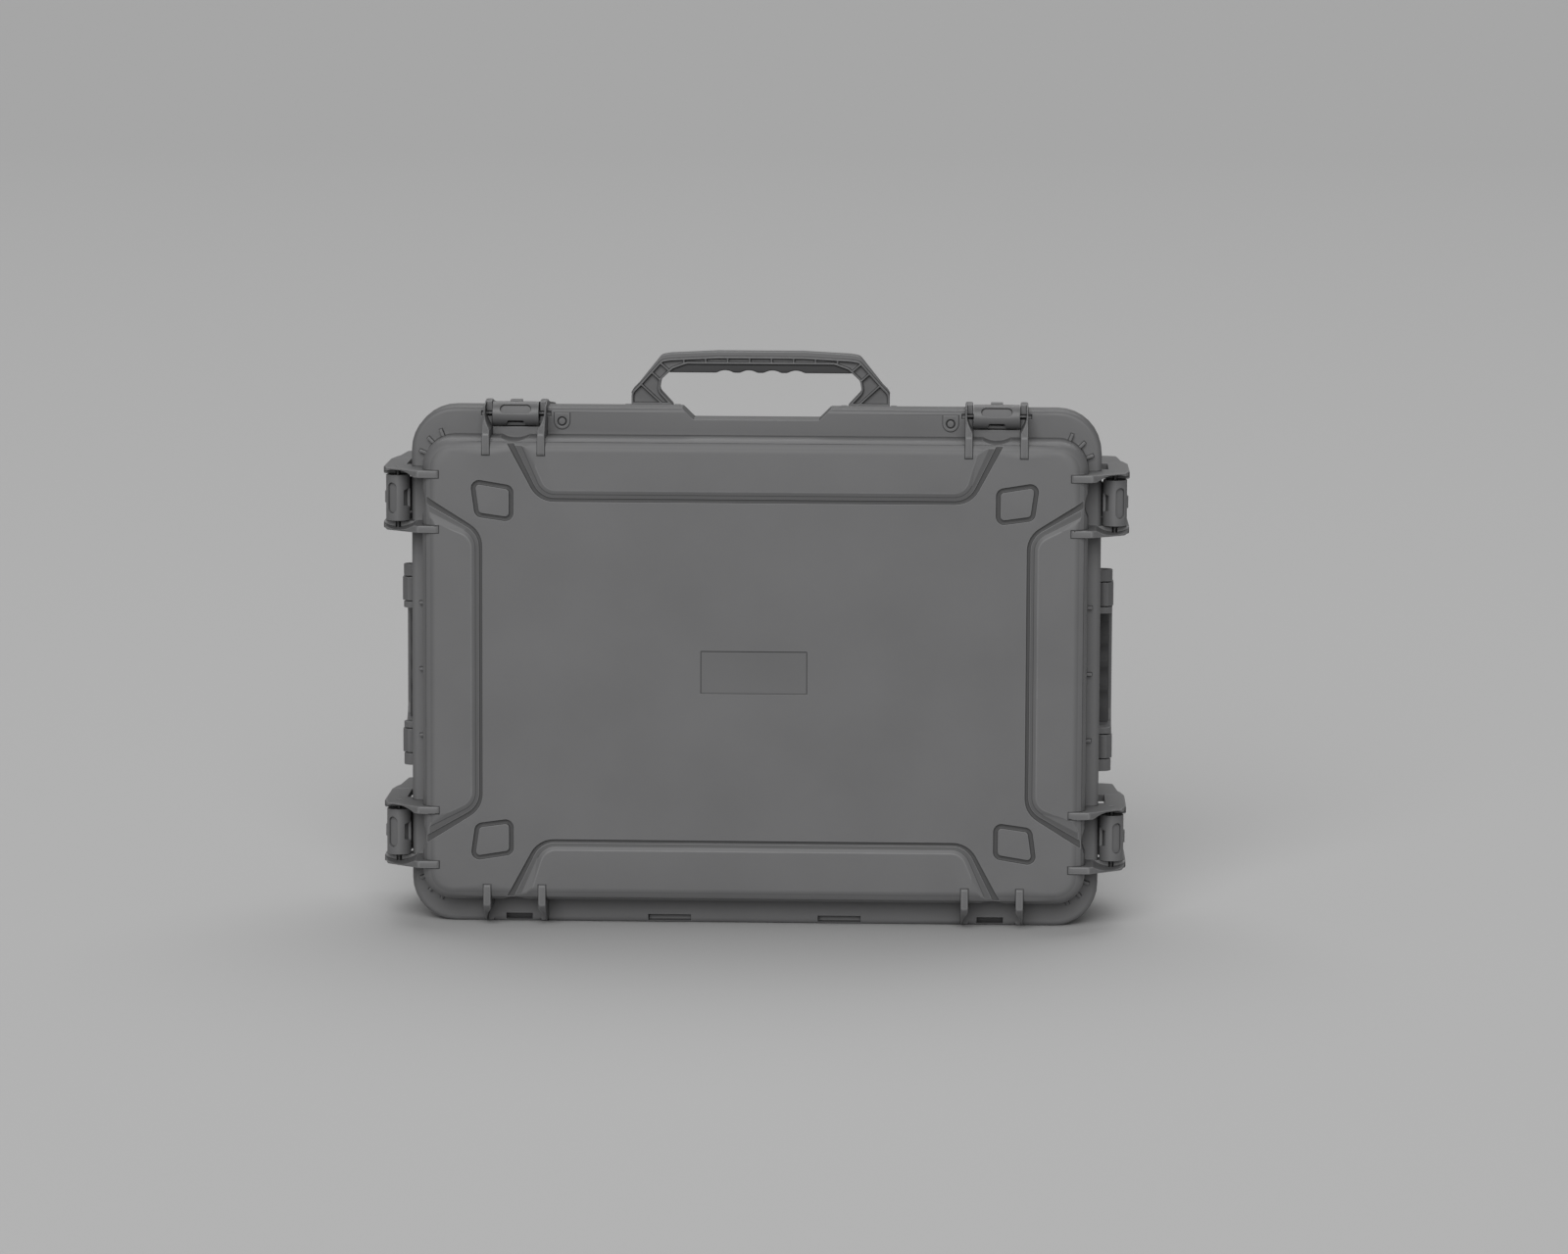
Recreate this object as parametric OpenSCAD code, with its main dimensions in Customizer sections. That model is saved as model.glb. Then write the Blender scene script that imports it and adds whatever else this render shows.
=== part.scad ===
// Hard case for laptops: two moulded shells, six latches, three folding handles.
// The case stands on its hinge side, the lid faces -Y and the hinge runs along X at the bottom.
// The origin is on the floor, at the middle of the width and of the depth.

/* [Shells] */
// Width of the rims, across the case
case_w = 690; // [640:1:760]
// Height of the rims, as the case stands
case_h = 521; // [490:1:560]
// Corner radius of the rims
rim_r = 44; // [38:1:56]
// Width across the outer side walls
wall_w = 663; // [620:1:670]
// Height across the outer top and bottom walls
wall_h = 466; // [440:1:470]
// Corner radius of the walls
wall_r = 30; // [24:1:36]
// Depth of the lid in front of its rim
lid_depth = 43; // [38:1:60]
// Depth of the base behind its rim
base_depth = 170; // [165:1:220]
// Thickness of each rim
rim_t = 20; // [18:1:26]
// Wall thickness of both shells
skin = 6; // [5:0.5:8]
// Rounding between the walls and the lid face or base back
face_round = 14; // [10:1:18]
// Rounding of the rims
rim_round = 5; // [3:0.5:7]
// Gap between the two rims when closed
part_gap = 0.5; // [0.4:0.1:1]

/* [Face relief] */
// Distance from the case centre to the long grooves beside the side panels
panel_x = 271; // [250:1:290]
// Distance from the case centre to the long grooves beside the top and bottom panels
panel_z = 170; // [150:1:185]
// Width of each groove
groove_w = 11; // [8:0.5:14]
// Depth of each groove and mark
groove_d = 3.6; // [2:0.2:4]
// Width of the label recess
label_w = 106; // [60:1:160]
// Height of the label recess
label_h = 42.5; // [20:0.5:80]
// Depth of the label recess
label_d = 0.5; // [0.3:0.1:1]
// Distance from the case centre to the stacking marks, across
mark_x = 259; // [240:1:270]
// Distance from the case centre to the stacking marks, up and down
mark_z = 170; // [150:1:180]
// Height of the stacking ribs on the base back
pad_h = 3; // [2:0.5:5]

/* [Latches] */
// Distance from the case centre to each top latch
top_latch_x = 240; // [225:1:255]
// Height of the upper side latches above the case centre
side_latch_up = 169; // [155:1:175]
// Depth of the lower side latches below the case centre
side_latch_low = 169; // [155:1:175]
// Distance between the two guard fins of a latch, centre to centre
fin_pitch = 55; // [55:1:60]
// Thickness of a guard fin
fin_t = 7.5; // [6:0.5:8]
// How far the side fins stand off the wall
side_fin_u = 41.5; // [38:0.5:46]
// How far the top fins stand off the wall
top_fin_u = 34; // [33:0.5:38]
// How much further the side latches stand out than the top ones
side_lift = 6; // [5.5:0.5:7]
// Width of a latch lever
lever_w = 46; // [42:0.5:46.5]
// Radius of the rounded nose of a lever
nose_r = 12; // [11:0.5:12.5]
// Diameter of the lever pins
lever_pin_d = 5; // [4:0.5:6]
// Diameter of the hook pins
hook_pin_d = 3; // [2.5:0.5:3.5]
// Width of the hook
hook_w = 31; // [26:1:33]

/* [Hinges] */
// Distance from the case centre to each hinge
hinge_x = 239; // [225:1:255]
// Radius of the hinge barrels
barrel_r = 5.5; // [5:0.5:6.5]
// Diameter of the hinge pins
hinge_pin_d = 5; // [4:0.5:6]

/* [Handles] */
// Overall width of the top handle
top_handle_w = 262; // [230:1:290]
// Height of the top handle above its pins
top_handle_h = 64; // [56:1:70]
// Thickness of the top handle, front to back
top_handle_t = 26; // [22:1:30]
// Front face of the top handle behind the parting plane
top_handle_y = 95; // [85:1:105]
// Overall length of a side handle
side_handle_w = 179; // [160:1:190]
// Reach of a side handle from its pins
side_handle_h = 68; // [60:1:76]
// Thickness of a side handle
side_handle_t = 18; // [16:0.5:20]
// Side handle centre below the case centre
side_handle_drop = 7; // [0:1:12]
// Pitch of the finger scallops
finger_pitch = 24; // [20:0.5:26]
// Diameter of the handle pins
handle_pin_d = 6; // [5:0.5:7]

/* [Inside] */
// Number of laptop slots in the base foam
slot_count = 6; // [4:1:6]
// Width of a laptop slot
slot_w = 38; // [30:1:42]
// Length of a laptop slot
slot_len = 350; // [330:1:360]
// Floor of a laptop slot behind the parting plane
slot_floor_y = 175; // [150:1:176]
// Depth of the foam surface behind the parting plane
foam_drop = 10; // [8:1:20]
// Thickness of the lid foam
lid_foam_t = 20; // [14:1:24]

/* [Valve] */
// Distance of the pressure valve from the case centre
valve_x = 176; // [165:1:185]
// Radius of the valve flange
valve_r = 13; // [11:0.5:15]

/* [Hidden] */
$fn = 48;

fixed_fit = 0.02;
run_fit = 0.08;
foam_fit = 0.3;
over = 1;
half_gap = part_gap / 2;
rim_u = (case_h - wall_h) / 2;
rim_side_u = (case_w - wall_w) / 2;
lid_front_y = -rim_t - lid_depth;
base_back_y = rim_t + base_depth;
centre_z = case_h / 2;
fin_proud = 2;
centre_y = (lid_front_y - fin_proud + base_back_y + pad_h) / 2;
floor_step = 4;
floor_w = wall_w - 2 * (skin + floor_step);
floor_h = wall_h - 2 * (skin + floor_step);
shell_grey = [0.26, 0.26, 0.265];
handle_grey = [0.22, 0.22, 0.225];
steel_grey = [0.6, 0.6, 0.62];
rubber_grey = [0.1, 0.1, 0.1];
foam_grey = [0.16, 0.16, 0.17];

// Latch sites: turn about Y, place along the edge. The outward direction is local Z.
TOP_LEFT = [0, -top_latch_x];
TOP_RIGHT = [0, top_latch_x];
LEFT_UPPER = [-90, side_latch_up];
LEFT_LOWER = [-90, -side_latch_low];
RIGHT_UPPER = [90, side_latch_up];
RIGHT_LOWER = [90, -side_latch_low];
top_sites = [TOP_LEFT, TOP_RIGHT];
side_sites = [LEFT_UPPER, LEFT_LOWER, RIGHT_UPPER, RIGHT_LOWER];
latch_sites = concat(top_sites, side_sites);
hinge_sites = [[180, -hinge_x], [180, hinge_x]];

// How far a latch stands out beyond the place of the top ones
function lift(site) = abs(site[0]) == 90 ? side_lift : 0;

// Points of an arc about c, from angle a to angle b in n steps
function arc(c, r, a, b, n) = [for (i = [0:n]) c + r * [cos(a + (b - a) * i / n), sin(a + (b - a) * i / n)]];

// Rounded rectangle about the origin, as one outline
function round_box(w, h, r, n = 8) = concat(
    arc([w / 2 - r, h / 2 - r], r, 0, 90, n),
    arc([-w / 2 + r, h / 2 - r], r, 90, 180, n),
    arc([-w / 2 + r, -h / 2 + r], r, 180, 270, n),
    arc([w / 2 - r, -h / 2 + r], r, 270, 360, n));

function unit(v) = v / norm(v);
function left_of(v) = [-v[1], v[0]];

// Moves a closed counter-clockwise outline inwards by t
function inset(pts, t) = let (n = len(pts)) [for (i = [0:n - 1])
    let (a = left_of(unit(pts[i] - pts[(i + n - 1) % n])), b = left_of(unit(pts[(i + 1) % n] - pts[i])))
    pts[i] + t * (a + b) / (1 + a * b)];

// Rounds every corner of a closed counter-clockwise outline, rs holds one radius per corner
function fillet(pts, rs, n = 6) = let (m = len(pts)) [for (i = [0:m - 1])
    let (p = pts[i], a = unit(pts[(i + m - 1) % m] - p), b = unit(pts[(i + 1) % m] - p),
        half = acos(a * b) / 2, reach = rs[i] / tan(half), c = p + unit(a + b) * rs[i] / sin(half))
    for (k = [0:(rs[i] > 0 ? n : 0)])
        rs[i] > 0 ? let (q = p + a * reach * (1 - k / n) + b * reach * k / n) c + unit(q - c) * rs[i] : p];

// Extrudes an outline in X and Z from y0 to y1
module slab(y0, y1) {
    translate([0, y1, 0]) rotate([90, 0, 0]) linear_extrude(y1 - y0) children();
}

// Extrudes an outline in Y and Z along X, centred on X = 0
module profile(w) {
    translate([-w / 2, 0, 0]) rotate([90, 0, 90]) linear_extrude(w) children();
}

// A bar along X through the point y, z
module bar_x(d, w, y, z) {
    translate([-w / 2, y, z]) rotate([0, 90, 0]) cylinder(d = d, h = w);
}

// Puts a latch or hinge at its site, with Z outwards from the wall and Y to the back
module at(site) {
    turn = site[0];
    edge_x = abs(turn) == 90 ? sign(turn) * wall_w / 2 : site[1];
    edge_z = abs(turn) == 90 ? site[1] : (turn == 0 ? wall_h / 2 : -wall_h / 2);
    translate([edge_x, 0, edge_z]) rotate([0, turn, 0]) children();
}

// Puts the moving pieces of a latch at its site
module at_latch(site) {
    at(site) translate([0, 0, lift(site)]) children();
}

// Moves the case from its own centre to the floor
module stand() {
    translate([0, -centre_y, centre_z]) children();
}

// A plate whose edge is rounded in steps on the side of y_round, made ring by ring
module soft_slab(w, h, r, edge, y_flat, y_round) {
    s = sign(y_round - y_flat);
    rings = concat([[0, y_flat]],
        [for (a = [0:22.5:90]) [edge * (1 - cos(a)), y_round - s * edge * (1 - sin(a))]]);
    n = len(round_box(w, h, r));
    points = [for (ring = rings) for (p = round_box(w - 2 * ring[0], h - 2 * ring[0], r - ring[0]))
        [p[0], ring[1], p[1]]];
    sides = [for (k = [0:len(rings) - 2]) for (i = [0:n - 1]) let (j = (i + 1) % n)
        [(k + 1) * n + i, (k + 1) * n + j, k * n + j, k * n + i]];
    caps = [[for (i = [0:n - 1]) i], [for (i = [n - 1:-1:0]) (len(rings) - 1) * n + i]];
    polyhedron(points, [for (f = concat(sides, caps)) s < 0 ? f : [for (i = [len(f) - 1:-1:0]) f[i]]]);
}

/* Face relief, shared by the lid face and the base back */
panel_foot = 25;
panel_spread = 34;
panel_round = 26;
panel_flare = 0.35;
side_half = 139;
side_spread = 38;
groove_share = 0.3;
shelf_share = 0.62;
shelf_d = 0.6;

// One edge panel: opens to the edge at z = edge, its long groove is at z = line, t moves it into the panel
function panel(half_edge, half_line, line, edge, t) =
    let (base = [[-half_edge, edge], [-half_line, line], [half_line, line], [half_edge, edge]])
    let (moved = inset(base, t), foot = moved[3][0] - panel_flare * t)
    fillet([[-foot, edge], moved[1], moved[2], [foot, edge]], [0, panel_round - t, panel_round - t, 0]);

// Cutter for the channel round a panel: a narrow groove, a shelf and a slope up to the panel.
// The face lies at Y = 0 and the material behind it.
module channel(half_edge, half_line, line, edge) {
    d = groove_d;
    flat = groove_w * shelf_share;
    rise = (groove_w - flat) * over / (d * shelf_d);
    section = [[0, -over], [0, d], [groove_w * groove_share, d], [groove_w * groove_share, d * shelf_d],
        [flat, d * shelf_d], [groove_w + rise, -over]];
    m = len(section);
    paths = [for (q = section) panel(half_edge, half_line, line, edge, q[0])];
    n = len(paths[0]);
    points = [for (k = [0:m - 1]) for (p = paths[k]) [p[0], section[k][1], p[1]]];
    sides = [for (k = [0:m - 1]) for (i = [0:n - 2]) let (j = (k + 1) % m)
        for (f = [[k * n + i, k * n + i + 1, j * n + i + 1], [k * n + i, j * n + i + 1, j * n + i]]) f];
    starts = [for (k = [1:m - 2]) [0, k * n, (k + 1) * n]];
    ends = [for (k = [2:m - 1]) [n - 1, k * n + n - 1, (k - 1) * n + n - 1]];
    polyhedron(points, concat(sides, starts, ends));
}

module face_channels() {
    top_half = top_latch_x - panel_foot;
    top_edge = wall_h / 2 + over;
    top_reach = top_half + panel_spread * (top_edge - panel_z) / (wall_h / 2 - panel_z);
    side_edge = wall_w / 2 + over;
    side_reach = side_half + side_spread * (side_edge - panel_x) / (wall_w / 2 - panel_x);
    for (a = [0, 180]) rotate([0, a, 0]) channel(top_reach, top_half, panel_z, top_edge);
    for (a = [-90, 90]) rotate([0, a, 0]) channel(side_reach, side_half, panel_x, side_edge);
}

// Stacking mark in the upper right corner, as a leaning square with rounded corners
mark_half = 22.7;
mark_lean = 3.6;
mark_round = 8;
mark_band = 4.4;
pad_clear = 0.7;
function mark_outline(t) = inset(fillet(
    [[-mark_half + mark_lean, -mark_half + mark_lean * 0.5],
     [mark_half - mark_lean, -mark_half + mark_lean * 2], [mark_half + mark_lean * 0.5, mark_half],
     [-mark_half + mark_lean, mark_half - mark_lean * 2]],
    [mark_round, mark_round, mark_round, mark_round]), t);

module mark_ring(t0, t1) {
    difference() {
        polygon(mark_outline(t0));
        polygon(mark_outline(t1));
    }
}

module mark_sites() {
    for (sx = [0, 1]) for (sz = [0, 1]) mirror([sx, 0]) mirror([0, sz]) translate([mark_x, mark_z]) children();
}

/* Guard fins, in Y and outward distance from the wall */
fin_inset = 17;
fin_slope = 26;
fin_tip = 3;
fin_front = 7;
rim_clear = 1.5;
catch_clear = 1.2;
tongue_y = 57;
tongue_gap = 1;

// Fin on the lid, from the face to the parting plane
function lid_fin(u) = [[-half_gap, -over], [-half_gap, u], [-rim_t + fin_front, u],
    [lid_front_y + fin_slope, u - 4], [lid_front_y + 5, 12], [lid_front_y - fin_proud, 4],
    [lid_front_y - fin_proud, fin_tip - fin_inset], [lid_front_y - fin_proud / 2, -fin_inset],
    [lid_front_y + skin - 2, -fin_inset], [lid_front_y + skin - 2, -skin / 2]];

// Tongue of a side fin, which runs on over the rim of the base and clears the catches as the lid turns
function tongue_foot() = max(rim_side_u + rim_clear, catch_u + side_lift + catch_clear);
function lid_tongue(u) = [[-rim_t, tongue_foot()], [tongue_y, tongue_foot()],
    [tongue_y, u - 0.5], [0, u], [-rim_t, u]];

// Fins on the base: the side ones start behind the tongues, the top ones at the parting plane
fin_tail = [[134, -over], [134, 22], [130, 31], [84, 35]];
top_fin_tail = [[160, -over], [150, 12], [104, 21], [40, 27.5]];
function base_fin(u) = concat([[tongue_y + tongue_gap, -over]], fin_tail,
    [[74, u - 3], [tongue_y + tongue_gap, u - 0.5]]);
function base_top_fin(u) = concat([[half_gap, -over]], top_fin_tail, [[half_gap, u]]);

module fin_pair(w) {
    for (s = [-1, 1]) translate([s * fin_pitch / 2, 0, 0]) profile(w) children();
}

/* Latch geometry: Y and outward distance from the wall */
land_u = 8;
lever_y = -rim_t;
lever_u = land_u + 1 + nose_r;
hook_y = lever_y + 7;
hook_u = lever_u - 5.5;
pocket_half = fin_pitch / 2 - fin_t / 2;
catch_y0 = 9;
catch_y1 = 16;
catch_u = land_u + 5;
claw_gap = 0.5;
claw_y = catch_y1 + claw_gap;
claw_t = 6;
hook_eye = 2.1;
arm_u0 = catch_u + 1;
arm_t = 6;
lever_end_y = 38;
plate_t = 5;
lever_drop = 6;
cheek_t = 5;
nose_wall = 3;
window_w = 31;
window_r = 5;
window_d = 4;
window_turn = 62;
window_pad = [5.5, 9.2];
pad_edge = 1.5;
lip_half = [10.5, 7.5];
lip_h = 5.5;
rib_pitch = 5;

// Lever plate, sloping inwards to the back
function lever_plate() = [[lever_y, lever_u + nose_r], [lever_y, lever_u + nose_r - plate_t],
    [lever_end_y - 5, lever_u + nose_r - plate_t - lever_drop],
    [lever_end_y, lever_u + nose_r - lever_drop - 1.5],
    [lever_end_y, lever_u + nose_r - lever_drop], [lever_end_y - 8, lever_u + nose_r - lever_drop + 0.6]];

module lever_side() {
    translate([lever_y, lever_u]) circle(r = nose_r);
    polygon(lever_plate());
    polygon([[lever_y, lever_u + nose_r - 1], [lever_y, lever_u - nose_r + 4], [hook_y + 4.5, hook_u - 3],
        [hook_y + 16, lever_u + nose_r - plate_t - 1]]);
}

// Looks along the window of the lever, at the distance r from the pin
module at_window(r) {
    translate([0, lever_y, lever_u]) rotate([window_turn, 0, 0]) translate([0, 0, r]) children();
}

module latch_lever() {
    difference() {
        union() {
            for (s = [-1, 1]) translate([s * (lever_w - cheek_t) / 2, 0, 0]) profile(cheek_t) lever_side();
            profile(lever_w - 1) difference() {
                union() {
                    translate([lever_y, lever_u]) circle(r = nose_r);
                    polygon(lever_plate());
                }
                translate([lever_y, lever_u]) circle(r = nose_r - nose_wall);
                translate([lever_y + 1, lever_u - 2 * nose_r]) square([2 * nose_r, 2 * nose_r + 2]);
            }
            // Pad behind the window
            at_window(window_pad[0]) translate([-window_w / 2 - pad_edge, -window_r - pad_edge, 0])
                cube([window_w + 2 * pad_edge, 2 * (window_r + pad_edge), window_pad[1] - window_pad[0]]);
            // Thumb rib on the crown and grip ribs near the end
            translate([-6, lever_y + 3, lever_u + nose_r - 2]) cube([12, 10, 3.4]);
            for (k = [0:3])
                translate([-14, lever_end_y - 8 - rib_pitch * k, lever_u + nose_r - lever_drop - 1])
                    cube([28, 2, 2.2 + 0.5 * k]);
        }
        bar_x(lever_pin_d + 2 * run_fit, lever_w + 2 * over, lever_y, lever_u);
        bar_x(hook_pin_d + 2 * fixed_fit, lever_w + 2 * over, hook_y, hook_u);
        // Window, as a recess in the nose
        at_window(nose_r - window_d) {
            translate([-window_w / 2 + window_r, -window_r, 0])
                cube([window_w - 2 * window_r, 2 * window_r, nose_r]);
            for (s = [-1, 1]) translate([s * (window_w / 2 - window_r), 0, 0])
                cylinder(r = window_r, h = nose_r);
        }
        // Notch in the lower edge of the nose
        slab(lever_y - nose_r - over, lever_y) translate([0, lever_u - nose_r]) polygon([
            [-lip_half[0], -over], [lip_half[0], -over], [lip_half[1], lip_h], [-lip_half[1], lip_h]]);
    }
}

module latch_hook() {
    difference() {
        union() {
            bar_x(hook_pin_d + 2 * hook_eye, hook_w, hook_y, hook_u);
            profile(hook_w) polygon([[hook_y, arm_u0], [claw_y, arm_u0], [claw_y, land_u + 1.5],
                [claw_y + claw_t - 1.5, land_u + 1.5], [claw_y + claw_t, land_u + 4],
                [claw_y + claw_t, arm_u0 + arm_t - 2],
                [claw_y + claw_t - 2, arm_u0 + arm_t], [hook_y, arm_u0 + arm_t - 1]]);
        }
        bar_x(hook_pin_d + 2 * run_fit, hook_w + 2 * over, hook_y, hook_u);
        // Lightening slot in the arm
        translate([-hook_w / 2 + 6, hook_y + 8, arm_u0 - over]) cube([hook_w - 12, 12, arm_t + 2 * over]);
    }
}

module catch_ridge() {
    profile(hook_w + 4) polygon([[catch_y0, land_u - 2], [catch_y1, land_u - 2], [catch_y1, catch_u],
        [catch_y0 + 3, catch_u], [catch_y0, catch_u - 3]]);
}

module pocket_cut() {
    translate([-pocket_half, -rim_t - over, land_u]) cube([2 * pocket_half, 2 * rim_t + 2 * over, 2 * rim_u]);
}

/* Hinge geometry: the axis lies in the parting plane */
hinge_u = rim_u - barrel_r;
gutter_gap = 3.8;
gutter_r = barrel_r + gutter_gap;
knuckle_half = pocket_half - 1;

/* Notch in both rims in front of the top handle */
notch_half = 63;
notch_flare = 12.5;
notch_d = 11.5;
module hand_notch() {
    slab(-rim_t - over, rim_t + over) polygon([
        [-notch_half, case_h / 2 - notch_d], [notch_half, case_h / 2 - notch_d],
        [notch_half + notch_flare, case_h / 2 + over], [-notch_half - notch_flare, case_h / 2 + over]]);
}

/* Seal groove round the cavity, in the lid rim */
seal_w = 5;
seal_d = 5;
seal_u = 1;
module seal_ring(w, y0) {
    slab(y0, -half_gap) difference() {
        polygon(round_box(wall_w + 2 * seal_u + w, wall_h + 2 * seal_u + w, wall_r + seal_u + w / 2));
        polygon(round_box(wall_w + 2 * seal_u - w, wall_h + 2 * seal_u - w, wall_r + seal_u - w / 2));
    }
}

/* Lock bosses on the lid rim */
lock_x = 194;
lock_z = case_h / 2 - 14;
lock_d = 9.5;
lock_ring = 1.4;
lock_boss = 15.5;
lock_t = 1.8;
module lock_boss_shape() {
    translate([lock_x, lock_z]) circle(d = lock_boss);
    translate([lock_x - lock_boss / 2, lock_z]) square([lock_boss, lock_boss * 0.55]);
}

/* Slots through the lid rim along the bottom */
drain_h = 6.2;
drain_lift = 2;
hinge_slot_w = 26.5;
drain_slot_w = 43;
drain_x = 85.5;
module bottom_slots() {
    for (s = [-1, 1]) {
        translate([s * (hinge_x - 2) - hinge_slot_w / 2, -rim_t - over, -case_h / 2 + drain_lift])
            cube([hinge_slot_w, rim_t, drain_h]);
        translate([s * drain_x - drain_slot_w / 2, -rim_t - over, -case_h / 2 + drain_lift])
            cube([drain_slot_w, rim_t / 2 + over, drain_h]);
    }
}

/* Small ribs where the lid wall meets its rim */
nub_l = 9;
nub_t = 3;
nub_h = 5;
nub_out = 3;
nub_pitch = 67;
nub_drop = 4;
nub_turns = [21, 45, 68];
module nubs() {
    for (sx = [-1, 1]) {
        for (k = [-1:1]) translate([sx * (wall_w / 2 + 1), -rim_t - nub_h / 2, nub_pitch * k - nub_drop])
            cube([nub_l, nub_h + over, nub_t], center = true);
        for (sz = [-1, 1]) for (a = nub_turns)
            translate([sx * (wall_w / 2 - wall_r), -rim_t - nub_h / 2, sz * (wall_h / 2 - wall_r)])
                rotate([0, sx > 0 ? -sz * a : 180 + sz * a, 0])
                    translate([wall_r + nub_out, 0, 0]) cube([nub_l, nub_h + over, nub_t], center = true);
    }
}

/* Round dents in the lid wall behind the latches and hinges */
dent_r = 30;
dent_d = 3.5;

module lid_shell() {
    color(shell_grey) stand() difference() {
        union() {
            soft_slab(wall_w, wall_h, wall_r, face_round, -half_gap, lid_front_y);
            soft_slab(case_w, case_h, rim_r, rim_round, -half_gap, -rim_t);
            for (site = top_sites) at(site) fin_pair(fin_t) polygon(lid_fin(top_fin_u));
            for (site = side_sites) at(site) fin_pair(fin_t) union() {
                polygon(lid_fin(side_fin_u));
                polygon(lid_tongue(side_fin_u));
            }
            for (site = hinge_sites) at(site) fin_pair(fin_t) union() {
                polygon(lid_fin(rim_u));
                translate([0, hinge_u]) circle(r = barrel_r);
            }
            for (s = [0, 1]) mirror([s, 0, 0]) slab(-rim_t - lock_t, -rim_t + over) lock_boss_shape();
            nubs();
        }
        // Cavity, stepped in where the outer edge is rounded
        slab(-rim_t - lid_depth + face_round, over)
            polygon(round_box(wall_w - 2 * skin, wall_h - 2 * skin, wall_r - skin));
        slab(lid_front_y + skin, 0)
            polygon(round_box(floor_w, floor_h, wall_r - skin));
        // Relief of the face
        translate([0, lid_front_y, 0]) face_channels();
        slab(lid_front_y - over, lid_front_y + label_d) square([label_w, label_h], center = true);
        slab(lid_front_y - over, lid_front_y + groove_d) mark_sites() mark_ring(0, mark_band);
        // Dents in the wall behind the latches and the hinges
        for (site = concat(latch_sites, hinge_sites)) at(site)
            translate([0, -rim_t, dent_r - dent_d]) rotate([90, 0, 0])
                cylinder(r = dent_r, h = lid_depth + over);
        for (site = top_sites) at(site) pocket_cut();
        for (site = latch_sites) at_latch(site)
            bar_x(lever_pin_d + 2 * fixed_fit, fin_pitch + 2 * fin_t, lever_y, lever_u);
        for (site = hinge_sites) at(site) {
            bar_x(2 * gutter_r, 2 * pocket_half, 0, hinge_u);
            bar_x(hinge_pin_d + 2 * fixed_fit, fin_pitch + 2 * fin_t, 0, hinge_u);
        }
        hand_notch();
        seal_ring(seal_w + 2 * fixed_fit, -half_gap - seal_d);
        for (s = [-1, 1]) translate([s * lock_x, -rim_t + 1, lock_z]) rotate([90, 0, 0]) difference() {
            cylinder(d = lock_d, h = 4);
            translate([0, 0, -over]) cylinder(d = lock_d - 2 * lock_ring, h = 4 + over - 1);
        }
        bottom_slots();
    }
}

module lid_seal() {
    color(rubber_grey) stand() translate([0, -fixed_fit, 0])
        seal_ring(seal_w, -half_gap - seal_d + 2 * fixed_fit);
}

/* Handle brackets on the base */
bracket_t = 6.5;
foot_w = 42;
foot_gap = 1;
bore_over = 20;
top_pin_u = 11;
pin_back = 9;
top_pin_y = top_handle_y + top_handle_t - pin_back;
bracket_r = 8;
side_foot_w = 24;
side_pin_u = 18.5;
side_pin_y = 36;
side_bracket_t = 12;

module bracket_plate(w, y, u, r) {
    profile(w) union() {
        polygon([[y - r - 6, -over], [y - r, u], [y + r, u], [y + r + 6, -over]]);
        translate([y, u]) circle(r = r);
    }
}

module top_brackets() {
    outer = top_handle_w / 2 + foot_gap + bracket_t / 2;
    inner = top_handle_w / 2 - foot_w - foot_gap - bracket_t / 2;
    for (s = [-1, 1]) for (x = [outer, inner])
        translate([s * x, 0, wall_h / 2]) bracket_plate(bracket_t, top_pin_y, top_pin_u, bracket_r);
}

module at_side(s) {
    translate([s * wall_w / 2, 0, -side_handle_drop]) rotate([0, s * 90, 0]) children();
}

module side_brackets(s) {
    outer = side_handle_w / 2 + foot_gap + side_bracket_t / 2;
    inner = side_handle_w / 2 - side_foot_w - foot_gap - bracket_t / 2;
    at_side(s) for (k = [-1, 1]) {
        translate([k * outer, 0, 0]) bracket_plate(side_bracket_t, side_pin_y, side_pin_u, bracket_r);
        translate([k * inner, 0, 0]) bracket_plate(bracket_t, side_pin_y, side_pin_u, bracket_r);
    }
}

/* Feet under the hinge side, in line with the bottom of the rims */
foot_x = 200;
foot_l = 120;
foot_d = 55;
foot_back = 20;

/* Valve through the top wall of the base */
valve_y = 110;
valve_stem_r = 8;
valve_seal_t = 2;
valve_flange_t = 3;

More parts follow.
